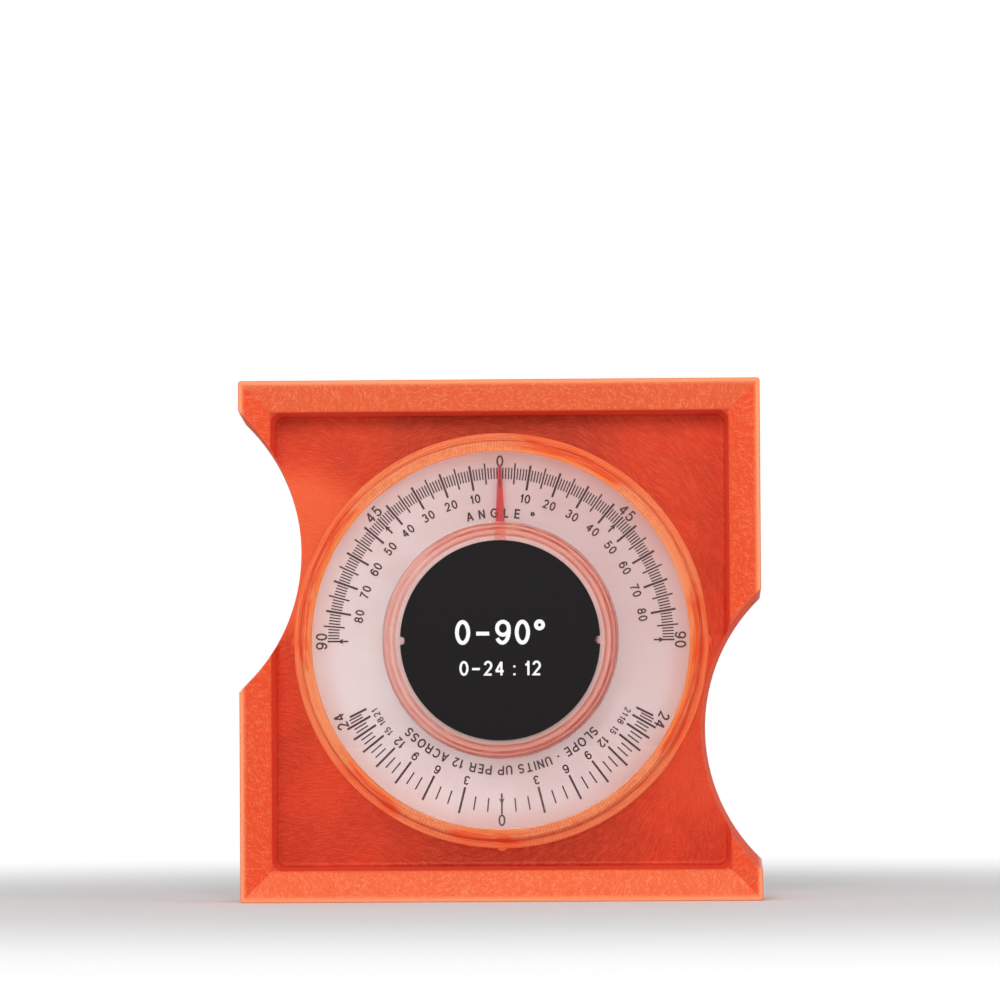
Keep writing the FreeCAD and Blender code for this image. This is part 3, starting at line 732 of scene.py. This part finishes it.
def let_light_in(tree, surface, front_light, wall_light):
    """Let lamp light straight through a surface, tinted at its walls and where it grazes."""
    clear = node(tree, "BsdfTransparent")
    graze = node(tree, "LayerWeight")
    graze.inputs["Blend"].default_value = GRAZE_BLEND
    straight = mix(tree, facing_forward(tree, *FRONT_SLOPE), wall_light, front_light)
    feed(tree, clear, Color=mix(tree, graze.outputs["Facing"], straight, GRAZED_LIGHT))
    shadow = node(tree, "LightPath").outputs["Is Shadow Ray"]
    show(tree, blended(tree, shadow, surface, clear.outputs[0]))


def red_plastic():
    """Translucent red sheet."""
    material, tree, shader = new_material("red_plastic")
    scale, relief, strength = POINTER_RIPPLE
    ripple = noise(tree, millimetres(tree), scale, detail=2.0)
    feed(tree, shader, Base_Color=POINTER_RED, Normal=bump(tree, ripple, relief, strength),
         Roughness=span(tree, ripple, *NOISE_MIDDLE, *POINTER_ROUGHNESS),
         Transmission_Weight=1.0, IOR=PLASTIC_IOR)
    body = blended(tree, POINTER_BODY_SHARE, shader.outputs[0], diffuse(tree, POINTER_BODY))
    let_light_in(tree, body, RED_LIGHT, RED_LIGHT)
    return material


def noise_round(tree, radius, sine, cosine, turns, fineness):
    """Noise drawn out round the pivot: its turns set its length and its fineness its width."""
    flow = joined(tree, times(tree, sine, turns), times(tree, cosine, turns),
                  times(tree, radius, fineness))
    return noise(tree, flow, 1.0, detail=2.0)


def golden_arcs(tree, bearing):
    """Where the lens's rim shows a painted reflection of the lit border of the square body, in arcs
    round the pivot.
    """
    total = 0.0
    for middle, half in GOLD_ARCS:
        off = math(tree, "ABSOLUTE", minus(tree, bearing, radians(middle)))
        none, full = (radians(half + softening) for softening in ARC_SOFTENING)
        total = plus(tree, total, span(tree, off, none, full))
    return total


def gathered_colour(tree, place):
    """Painted refraction and reflection that the lens's walls show end on: rings, golden patches,
    reflected ticks and fine lines.
    """
    radius, sine, cosine = around_pivot(tree, place)
    bearing = math(tree, "ARCTAN2", sine, cosine)
    on_rim = span(tree, radius, *RIM_RADIUS)
    on_boss = minus(tree, 1.0, on_rim)
    rings = bands(tree, radius, [(reach, colour) for reach, _, colour in LENS_RINGS])

    broken = noise_round(tree, radius, sine, cosine, PATCH_TURNS, PATCH_FINENESS)
    patches = plus(tree, golden_arcs(tree, bearing), times(tree, broken, PATCH_STRENGTH))
    gold = times(tree, span(tree, patches, *PATCH_RANGE),
                 span(tree, radius, *GOLD_RADIUS, *GOLD_SHARES), on_rim)

    # Painted reflections of the dial's ticks
    wave = math(tree, "SINE", times(tree, bearing, REFLECTED_TICK_COUNT))
    uneven = times(tree, noise(tree, place, REFLECTED_TICK_NOISE_SCALE), REFLECTED_TICK_NOISE)
    reflected_ticks = times(tree, gold, span(tree, math(tree, "ABSOLUTE", cosine), *REFLECTED_TICK_COSINE),
                 span(tree, plus(tree, wave, uneven), *REFLECTED_TICK_RANGE, 0.0, REFLECTED_TICK_SHARE))

    lines = noise_round(tree, radius, sine, cosine, LINE_TURNS, LINE_FINENESS)
    bright = times(tree, span(tree, lines, *LINE_RANGE), LINE_SHARE)

    side = span(tree, minus(tree, sine, cosine), *DEEP_SIDE, 0.0, DEEP_SHARE)
    deep = times(tree, side, on_boss, span(tree, radius, *DEEP_RADIUS))
    drift = times(tree, noise(tree, place, PALE_DRIFT_SCALE, detail=2.0), PALE_DRIFT)
    pale = times(tree, span(tree, plus(tree, sine, drift), *PALE_SIDE, 0.0, PALE_SHARE), on_boss)
    return layered(tree, rings, (gold, RING_GOLD), (reflected_ticks, RING_REFLECTED_TICK),
                   (bright, mix(tree, on_rim, BOSS_GOLD, RING_TAN)), (deep, BOSS_DEEP),
                   (pale, BOSS_PALE))


def clear_plastic():
    """Clear moulding with a matt layer of painted refraction and reflection: the colour that its
    walls, seen end on, show of the body behind them.
    """
    material, tree, shader = new_material("clear_plastic")
    place = millimetres(tree)
    radius = around_pivot(tree, place)[0]
    scale, relief, strength = CLEAR_RIPPLE
    ripple = noise(tree, place, scale, detail=1.0)
    front = facing_forward(tree, *FRONT_SLOPE)
    feed(tree, shader, Normal=bump(tree, ripple, relief, strength),
         Base_Color=mix(tree, span(tree, ripple, *CLEAR_RIPPLE_RANGE), CLEAR, CLEAR_WARM),
         Roughness=span(tree, front, 0.0, 1.0, *CLEAR_ROUGHNESS),
         Transmission_Weight=1.0, IOR=PLASTIC_IOR)
    # Painted refraction and reflection, laid over the clear shader where the walls' front faces
    # look end on
    share = bands(tree, radius, [(reach, (share,) * 3) for reach, share, _ in LENS_RINGS])
    painted_refraction_share = times(tree, share, facing_forward(tree, *REFRACTION_FACING_SLOPE))
    painted_refraction = diffuse(tree, gathered_colour(tree, place))
    let_light_in(tree, blended(tree, painted_refraction_share, shader.outputs[0], painted_refraction), CLEAR, WALL_LIGHT)
    return material


# The other materials

def dial_material():
    """Pale pinkish printed foil, with painted shade that makes it pinker towards its rim, its top
    and its right.
    """
    material, tree, shader = new_material("dial_print")
    place = millimetres(tree)
    radius, sine, cosine = around_pivot(tree, place)
    clouds = noise(tree, place, DIAL_CLOUD_SCALE, detail=2.0)
    fibre = noise(tree, place, FIBRE_SCALE, roughness=0.7)
    even = mix(tree, span(tree, clouds, *DIAL_CLOUD_RANGE), DIAL_WHITE, DIAL_WARM)
    upward = plus(tree, cosine, times(tree, sine, PINK_LEAN))
    # Painted shade, pinker to the right and to the top
    painted_shade = plus(tree, span(tree, sine, *PINK_SINE, 0.0, PINK_HALF),
                    span(tree, upward, *PINK_UP, 0.0, PINK_HALF))
    inside = mix(tree, painted_shade, even, DIAL_SHADED_PINK)
    # Painted shade towards the rim
    rim = mix(tree, painted_shade, DIAL_RIM_SHADE, DIAL_RIM_SHADE_PINK)
    base = mix(tree, span(tree, radius, *RIM_SHADE_RADIUS), inside, rim)
    fibres = span(tree, fibre, *FIBRE_RANGE, 0.0, FIBRE_SHARE)
    feed(tree, shader, Base_Color=mix(tree, fibres, base, DIAL_WARM),
         Roughness=span(tree, fibre, *NOISE_MIDDLE, *DIAL_ROUGHNESS),
         Normal=bump(tree, fibre, FIBRE_RELIEF))
    return material


def plain_plastic(name, colour, grain_colour, finish, specular=PLAIN_SPECULAR):
    """Plastic or ink with a fine grain of a near colour."""
    material, tree, shader = new_material(name)
    roughness, scale, relief = finish
    grain = noise(tree, millimetres(tree), scale, detail=4.0, roughness=0.65)
    smooth, rough = (roughness * swing for swing in PLAIN_SWING)
    feed(tree, shader, Roughness=span(tree, grain, *NOISE_MIDDLE, smooth, rough),
         Base_Color=mix(tree, span(tree, grain, *PLAIN_GRAIN_RANGE), grain_colour, colour),
         Normal=bump(tree, grain, relief), Specular_IOR_Level=specular)
    return material


def metal(name, colour, roughness, stretch):
    """Bright metal with fine lines round its axis, or along it where it is stretched that way."""
    material, tree, shader = new_material(name)
    place = millimetres(tree)
    drawn = node(tree, "Mapping")
    feed(tree, drawn, Vector=place, Scale=stretch)
    lines = noise(tree, drawn.outputs["Vector"], METAL_LINE_SCALE, roughness=0.6)
    tarnish = span(tree, noise(tree, place, TARNISH_SCALE), *TARNISH_RANGE, 0.0, TARNISH_SHARE)
    dull = tuple(channel * TARNISH_DULLING for channel in colour)
    smooth, rough = (roughness * swing for swing in METAL_SWING)
    feed(tree, shader, Metallic=1.0, Base_Color=mix(tree, tarnish, colour, dull),
         Roughness=span(tree, lines, *NOISE_MIDDLE, smooth, rough),
         Normal=bump(tree, lines, *METAL_RELIEF))
    return material


def floor_material():
    """Pale matt floor that keeps the object's shadow and turns white away from it."""
    material, tree, shader = new_material("pale_floor")
    place = millimetres(tree)
    grain = noise(tree, place, FLOOR_GRAIN_SCALE)
    feed(tree, shader, Base_Color=mix(tree, grain, FLOOR_GREY, FLOOR_PALE),
         Roughness=FLOOR_ROUGHNESS, Specular_IOR_Level=FLOOR_SPECULAR)
    distance = node(tree, "VectorMath", operation="LENGTH")
    plug(tree, distance.inputs[0], place)
    away = span(tree, distance.outputs["Value"], *FLOOR_FADE)
    seen = times(tree, node(tree, "LightPath").outputs["Is Camera Ray"], away)
    white = node(tree, "Emission")
    show(tree, blended(tree, seen, shader.outputs[0], white.outputs[0]))
    return material


def dress_nodes():
    """Give every CAD node the material of its slot."""
    finishes = {
        "orange_plastic": orange_plastic(),
        "clear_plastic": clear_plastic(),
        "dial_backing": plain_plastic("dial_backing", BACKING, BACKING_DULL, BACKING_FINISH),
        "dial_print": dial_material(),
        "red_plastic": red_plastic(),
        "black_label": plain_plastic("black_label", LABEL_BLACK, LABEL_DEEP, LABEL_FINISH,
                                     specular=MATT_SPECULAR),
        "brass": metal("brass", BRASS, BRASS_ROUGHNESS, TURNED_STRETCH),
        "steel": metal("steel", STEEL, STEEL_ROUGHNESS, BRUSHED_STRETCH),
        "screw_steel": metal("screw_steel", ZINC, ZINC_ROUGHNESS, TURNED_STRETCH),
    }
    for part in frame["record"]["subparts"]:
        target = frame["nodes"][part["node"]]
        for slot in target.material_slots:
            slot.material = finishes[part["material_slot"]]


# Print

def on_face(face, bearing, radius):
    """The place and turn of something printed at a clockwise bearing, its top outward."""
    spin = Matrix.Rotation(bearing, 4, "Y")
    upright = Matrix.Rotation(pi / 2, 4, "X")
    centre = Matrix.Translation((PIVOT.x, face, PIVOT.z))
    return centre @ spin @ Matrix.Translation((0.0, 0.0, radius * MM)) @ upright


def print_outline(sheet, place, corners):
    """Print a flat shape, given in millimetres and anticlockwise, with its ink's thickness."""
    lower, upper = ([sheet.verts.new(place @ Vector((x * MM, y * MM, lift * MM)))
                     for x, y in corners] for lift in (0.0, PRINT_THICKNESS))
    sheet.faces.new(reversed(lower))
    sheet.faces.new(upper)
    for this in range(len(corners)):
        other = (this + 1) % len(corners)
        sheet.faces.new((lower[this], lower[other], upper[other], upper[this]))


def print_tick(sheet, bearing, tick):
    """A straight mark along a radius."""
    inner, outer, width = tick
    middle = (inner + outer) / 2
    half = (outer - inner) / 2
    print_stroke(sheet, on_face(DIAL_FACE, bearing, middle), [(0.0, -half), (0.0, half)], width,
                 PRINT_THICKNESS)


def print_arrow(sheet, bearing):
    """A mark with a small head that points outward."""
    print_tick(sheet, bearing, ARROW_TICK)
    middle = (ARROW_POINT + ARROW_FOOT) / 2
    half_length = (ARROW_POINT - ARROW_FOOT) / 2
    print_outline(sheet, on_face(DIAL_FACE, bearing, middle),
                  [(-ARROW_WIDTH / 2, -half_length), (0.0, -half_length * ARROW_NOTCH),
                   (ARROW_WIDTH / 2, -half_length), (0.0, half_length)])


def bow(across, up, half_width, half_height, start, end):
    """Points along part of an ellipse, from one angle in degrees to another."""
    steps = max(3, round(abs(end - start) / CURVE_STEP))
    angles = [radians(start + (end - start) * step / steps) for step in range(steps + 1)]
    return [(across + half_width * cos(angle), up + half_height * sin(angle)) for angle in angles]


def letter_shapes():
    """Each sign's width and its strokes' middle lines, for capitals one unit high."""
    ring = (0, 360)
    bowl = bow(0.36, 0.74, 0.24, 0.26, 90, -90)
    six = [bow(0.28, 0.31, 0.28, 0.31, *ring), bow(0.31, 0.44, 0.31, 0.56, 38, 184)]
    nine = [[(0.56 - x, 1.0 - y) for x, y in stroke] for stroke in six]
    return {
        "0": (0.54, [bow(0.27, 0.5, 0.27, 0.5, *ring)]),
        "1": (0.24, [[(0.0, 0.74), (0.14, 0.79), (0.22, 0.90), (0.24, 1.0)],
                     [(0.24, 1.07), (0.24, -0.07)]]),
        "2": (0.54, [bow(0.28, 0.71, 0.25, 0.29, 170, -35) + [(0.04, 0.0), (0.56, 0.0)]]),
        "3": (0.54, [bow(0.27, 0.75, 0.23, 0.25, 165, -90), bow(0.27, 0.26, 0.27, 0.26, 90, -165)]),
        "4": (0.58, [[(0.42, -0.07), (0.42, 1.0)], [(0.42, 1.0), (0.0, 0.27)],
                     [(-0.04, 0.26), (0.60, 0.26)]]),
        "5": (0.54, [[(0.50, 1.0), (0.12, 1.0), (0.05, 0.50)]
                     + bow(0.26, 0.32, 0.28, 0.32, 130, -160)]),
        "6": (0.56, six),
        "7": (0.54, [[(-0.05, 1.0), (0.54, 1.0), (0.34, 0.62), (0.22, 0.28), (0.18, -0.07)]]),
        "8": (0.56, [bow(0.28, 0.75, 0.23, 0.25, *ring), bow(0.28, 0.26, 0.28, 0.26, *ring)]),
        "9": (0.56, nine),
        "A": (0.68, [[(0.0, -0.07), (0.33, 1.05)], [(0.35, 1.05), (0.68, -0.07)],
                     [(0.12, 0.32), (0.56, 0.32)]]),
        "C": (0.70, [bow(0.38, 0.5, 0.38, 0.5, 42, 318)]),
        "E": (0.54, [[(0.56, 1.0), (0.0, 1.0), (0.0, 0.0), (0.58, 0.0)],
                     [(0.0, 0.52), (0.52, 0.52)]]),
        "G": (0.76, [bow(0.38, 0.5, 0.38, 0.5, 42, 325),
                     [(0.42, 0.46), (0.76, 0.46), (0.76, -0.05)]]),
        "I": (0.0, [[(0.0, 1.07), (0.0, -0.07)]]),
        "L": (0.48, [[(0.0, 1.07), (0.0, 0.0), (0.50, 0.0)]]),
        "N": (0.60, [[(0.0, -0.07), (0.0, 1.07)], [(0.0, 1.0), (0.60, 0.0)],
                     [(0.60, -0.07), (0.60, 1.07)]]),
        "O": (0.78, [bow(0.39, 0.5, 0.39, 0.5, *ring)]),
        "P": (0.60, [[(0.0, -0.07), (0.0, 1.0)] + bowl + [(0.0, 0.48)]]),
        "R": (0.62, [[(0.0, -0.07), (0.0, 1.0)] + bowl + [(0.0, 0.48)],
                     [(0.34, 0.48), (0.52, 0.40), (0.57, 0.22), (0.62, -0.07)]]),
        "S": (0.56, [bow(0.29, 0.74, 0.26, 0.26, 22, 225) + bow(0.28, 0.26, 0.30, 0.26, 60, -160)]),
        "T": (0.62, [[(-0.04, 1.0), (0.66, 1.0)], [(0.31, 1.0), (0.31, -0.07)]]),
        "U": (0.60, [[(0.0, 1.07)] + bow(0.30, 0.30, 0.30, 0.30, 180, 360) + [(0.60, 1.07)]]),
        "-": (0.26, [[(0.0, 0.42), (0.26, 0.42)]]),
        "–": (0.62, [[(0.0, 0.44), (0.62, 0.44)]]),
        "°": (0.34, [bow(0.17, 0.84, 0.17, 0.17, *ring)]),
        ":": (0.0, [[(0.0, -0.07), (0.0, 0.09)], [(0.0, 0.55), (0.0, 0.71)]]),
    }


LETTERS = letter_shapes()


def print_stroke(sheet, place, line, width, thickness):
    """Print a line of points in millimetres as a band of one width, mitred at its corners."""
    points = [Vector((x, y)) for x, y in line]
    closed = (points[0] - points[-1]).length < CLOSED_GAP
    if closed:
        points.pop()
    sides = []
    for index, point in enumerate(points):
        after = points[(index + 1) % len(points)] if closed or index < len(points) - 1 else None
        before = points[index - 1] if closed or index else None
        into = (point - before).normalized() if before else (after - point).normalized()
        out = (after - point).normalized() if after else into
        across = Vector((-into.y - out.y, into.x + out.x)).normalized()
        reach = width / 2 / max(across.dot(Vector((-out.y, out.x))), MITRE_LEAST)
        sides.append((point + across * reach, point - across * reach))
    rows = [[sheet.verts.new(place @ Vector((x * MM, y * MM, lift * MM)))
             for (x, y), lift in ((left, 0.0), (right, 0.0), (right, thickness),
                                  (left, thickness))] for left, right in sides]
    for index in range(len(rows) if closed else len(rows) - 1):
        this, following = rows[index], rows[(index + 1) % len(rows)]
        for corner in range(4):
            other = (corner + 1) % 4
            sheet.faces.new((this[corner], this[other], following[other], following[corner]))
    if not closed:
        sheet.faces.new(reversed(rows[0]))
        sheet.faces.new(rows[-1])


def print_sign(sheet, place, sign, height, weight):
    """Print one sign with its left edge and foot on its place; weight is its stroke's width."""
    scale = height - weight
    for layer, line in enumerate(LETTERS[sign][1], start=1):
        moved = [(weight / 2 + x * scale, weight / 2 + y * scale) for x, y in line]
        print_stroke(sheet, place, moved, weight, PRINT_THICKNESS + layer * LAYER_STEP)


def sign_width(sign, height, weight):
    """A sign's width in millimetres."""
    return LETTERS[sign][0] * (height - weight) + weight


def lay_out(words, height, weight, spacing):
    """Where each sign of some words starts, and how long they are."""
    starts = []
    length = 0.0
    for sign in words:
        if sign == " ":
            length += BLANK_SHARE * height
            continue
        starts.append((sign, length))
        length += sign_width(sign, height, weight) + spacing
    return starts, length - spacing


def print_words(sheet, place, words, height, weight):
    """Print a short straight word or number, centred on its place."""
    starts, length = lay_out(words, height, weight, SPACING_SHARE * height)
    for sign, start in starts:
        shift = Matrix.Translation(Vector((start - length / 2, -height / 2, 0.0)) * MM)
        print_sign(sheet, place @ shift, sign, height, weight)


def print_around(sheet, words, ring, middle_bearing):
    """Print words sign by sign along an arc, with their tops outward."""
    radius, height, weight, spacing = ring
    starts, length = lay_out(words, height, weight, spacing)
    for sign, start in starts:
        width = sign_width(sign, height, weight)
        bearing = middle_bearing + (start + width / 2 - length / 2) / radius
        shift = Matrix.Translation(Vector((-width / 2, -height / 2, 0.0)) * MM)
        print_sign(sheet, on_face(DIAL_FACE, bearing, radius) @ shift, sign, height, weight)


def print_number(sheet, bearing, number, ring):
    """Print a number on a ring of radius, height and stroke width."""
    radius, height, weight = ring
    print_words(sheet, on_face(DIAL_FACE, bearing, radius), str(number), height, weight)


def print_degrees(sheet):
    """The upper scale: 0 at the top to 90 degrees each way."""
    for step in range(-DEGREES_MOST, DEGREES_MOST + 1):
        if step % ARROW_EVERY == 0:
            print_arrow(sheet, radians(step))
        elif step % LONG_EVERY == 0:
            print_tick(sheet, radians(step), LONG_TICK)
        elif step % MIDDLE_EVERY == 0:
            print_tick(sheet, radians(step), MIDDLE_TICK)
        else:
            print_tick(sheet, radians(step), FINE_TICK)
    for step in range(-DEGREES_MOST, DEGREES_MOST + 1, ARROW_EVERY):
        print_number(sheet, radians(step), abs(step), OUTER_NUMBERS)
    for step in range(LONG_EVERY - DEGREES_MOST, DEGREES_MOST, LONG_EVERY):
        if step:
            print_number(sheet, radians(step), abs(step), INNER_NUMBERS)


def print_pitches(sheet):
    """The lower scale: rise over a run of 12, 0 at the bottom to 24 each way."""
    print_arrow(sheet, pi)
    print_number(sheet, pi, 0, OUTER_NUMBERS)
    for side in (-1, 1):
        for rise in range(1, PITCH_MOST + 1):
            bearing = pi + side * atan(rise / PITCH_RUN)
            if rise == PITCH_MOST:
                print_tick(sheet, bearing, PITCH_LAST_TICK)
                print_number(sheet, bearing, rise, OUTER_NUMBERS)
            elif rise % PITCH_LONG_EVERY == 0:
                print_tick(sheet, bearing, PITCH_LONG_TICK)
                ring = INNER_NUMBERS if rise <= PITCH_RUN else CROWDED_NUMBERS
                print_number(sheet, bearing, rise, ring)
            else:
                print_tick(sheet, bearing, PITCH_FINE_TICK)


def finish_print(sheet, name, material):
    """Turn a printed sheet into an object that rides on the housing."""
    mesh = bpy.data.meshes.new(name)
    sheet.to_mesh(mesh)
    sheet.free()
    mesh.materials.append(material)
    piece = bpy.data.objects.new(name, mesh)
    bpy.context.scene.collection.objects.link(piece)
    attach(piece, "housing")
    return piece


def make_dial_print():
    """Both scales and their captions on the dial."""
    ink = plain_plastic("dial_ink", INK, INK_THIN, INK_FINISH, specular=MATT_SPECULAR)
    sheet = bmesh.new()
    print_degrees(sheet)
    print_pitches(sheet)
    print_around(sheet, "ANGLE °", TOP_CAPTION, 0.0)
    print_around(sheet, "SLOPE - UNITS UP PER 12 ACROSS", BOTTOM_CAPTION, pi)
    piece = finish_print(sheet, "dial_scales", ink)


def make_label_print():
    """Plain ranges in white on the centre label."""
    white = plain_plastic("label_ink", LABEL_WHITE, LABEL_GREY, INK_FINISH)
    sheet = bmesh.new()
    for words, height, rise, weight in LABEL_LINES:
        print_words(sheet, on_face(LABEL_FACE, 0.0, rise), words, height, weight)
    piece = finish_print(sheet, "label_print", white)


# Stage

def make_camera():
    """The camera at the photograph's viewing angle."""
    data = bpy.data.cameras.new("camera")
    data.lens = CAMERA_LENS
    data.clip_start, data.clip_end = CAMERA_REACH
    camera = bpy.data.objects.new("camera", data)
    camera.matrix_world = (Matrix.Translation(CAMERA_PLACE) @ Matrix.Rotation(CAMERA_TURN, 4, "Z")
                           @ Matrix.Rotation(pi / 2 + CAMERA_TIP, 4, "X")
                           @ Matrix.Rotation(CAMERA_ROLL, 4, "Z"))
    bpy.context.scene.collection.objects.link(camera)
    bpy.context.scene.camera = camera


def add_softbox(name, place, size, power):
    """A rectangular lamp that faces the object."""
    data = bpy.data.lights.new(name, "AREA")
    data.shape = "RECTANGLE"
    data.size, data.size_y = size
    data.energy = power
    lamp = bpy.data.objects.new(name, data)
    lamp.location = place
    aim = PIVOT - Vector(place)
    lamp.rotation_euler = aim.to_track_quat("-Z", "Y").to_euler()
    bpy.context.scene.collection.objects.link(lamp)


def make_floor():
    """A wide plain floor under the object."""
    sheet = bmesh.new()
    bmesh.ops.create_grid(sheet, x_segments=2, y_segments=2, size=FLOOR_HALF)
    mesh = bpy.data.meshes.new("floor")
    sheet.to_mesh(mesh)
    sheet.free()
    mesh.materials.append(floor_material())
    floor = bpy.data.objects.new("floor", mesh)
    floor.location.z = cad_low.z
    bpy.context.scene.collection.objects.link(floor)


def make_world():
    """Even light, with white behind and above the object and a dimmer room in front of it."""
    world = bpy.data.worlds.new("studio")
    bpy.context.scene.world = world
    world.use_nodes = True
    tree = world.node_tree
    background = tree.nodes["Background"]
    path = node(tree, "LightPath").outputs
    backward = split(tree, node(tree, "TexCoord").outputs["Generated"])[1]
    mirrored = times(tree, path["Is Glossy Ray"],
                     span(tree, backward, *ROOM_TURN, ROOM_MIRRORED, 1.0))
    seen = math(tree, "MAXIMUM", path["Is Camera Ray"], path["Is Transmission Ray"])
    filling = times(tree, minus(tree, 1.0, path["Is Glossy Ray"]), ROOM_LIGHT)
    level = math(tree, "MAXIMUM", math(tree, "MAXIMUM", seen, mirrored), filling)
    feed(tree, background, Color=(1.0, 1.0, 1.0), Strength=level)


def main():
    """Set the stage, dress the CAD nodes, and print the dial and the label."""
    make_camera()
    make_world()
    make_floor()
    for name, (place, size, power) in SOFTBOXES.items():
        add_softbox(name, place, size, power)
    dress_nodes()
    make_dial_print()
    make_label_print()
    bpy.context.scene.view_settings.view_transform = "Standard"


main()
